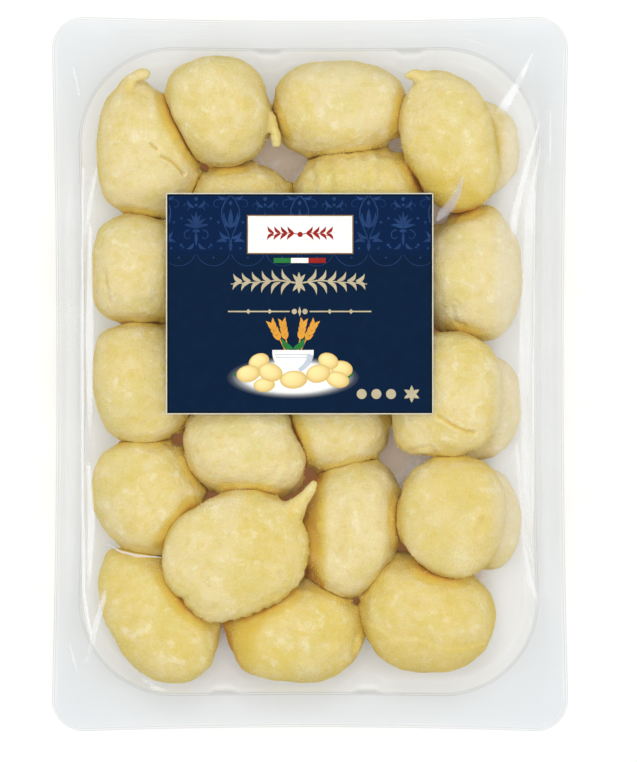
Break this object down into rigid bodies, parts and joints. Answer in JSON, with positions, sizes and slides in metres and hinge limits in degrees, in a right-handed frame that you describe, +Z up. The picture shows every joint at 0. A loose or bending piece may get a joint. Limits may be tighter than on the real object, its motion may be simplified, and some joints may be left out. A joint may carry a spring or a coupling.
{
  "type": "sealed tray pack of potato gnocchi",
  "caption": "Shallow clear tray with rounded cavity and wide flange, sealed with clear film and a square label, holding large potato gnocchi.",
  "frame": {"origin": "middle of the footprint, on the underside of the tray that it lies on", "axes": "+Z up out of the film side, +Y along the tray towards the end that the label is nearer to, +X across it"},
  "size_m": [0.155, 0.2144, 0.0373],
  "materials": {
    "clear_tray": "clear formed plastic sheet, glossy",
    "clear_film": "thin clear sealing film, glossy with fine wrinkles",
    "label": "printed sticker, satin dark blue with a tone on tone ornament",
    "gnocchi": "soft pale yellow potato dough, satin, dusted with semolina"
  },
  "bodies": {
    "root": {"tray": "clear_tray", "lid_film": "clear_film", "label": "label", "gnocco_01": "gnocchi", "gnocco_02": "gnocchi", "gnocco_03": "gnocchi", "gnocco_04": "gnocchi", "gnocco_05": "gnocchi", "gnocco_06": "gnocchi", "gnocco_07": "gnocchi", "gnocco_08": "gnocchi", "gnocco_09": "gnocchi", "gnocco_10": "gnocchi", "gnocco_11": "gnocchi", "gnocco_12": "gnocchi", "gnocco_13": "gnocchi", "gnocco_14": "gnocchi", "gnocco_15": "gnocchi", "gnocco_16": "gnocchi", "gnocco_17": "gnocchi", "gnocco_18": "gnocchi", "gnocco_19": "gnocchi", "gnocco_20": "gnocchi", "gnocco_21": "gnocchi", "gnocco_22": "gnocchi", "gnocco_23": "gnocchi", "gnocco_24": "gnocchi"}
  },
  "joints": []
}
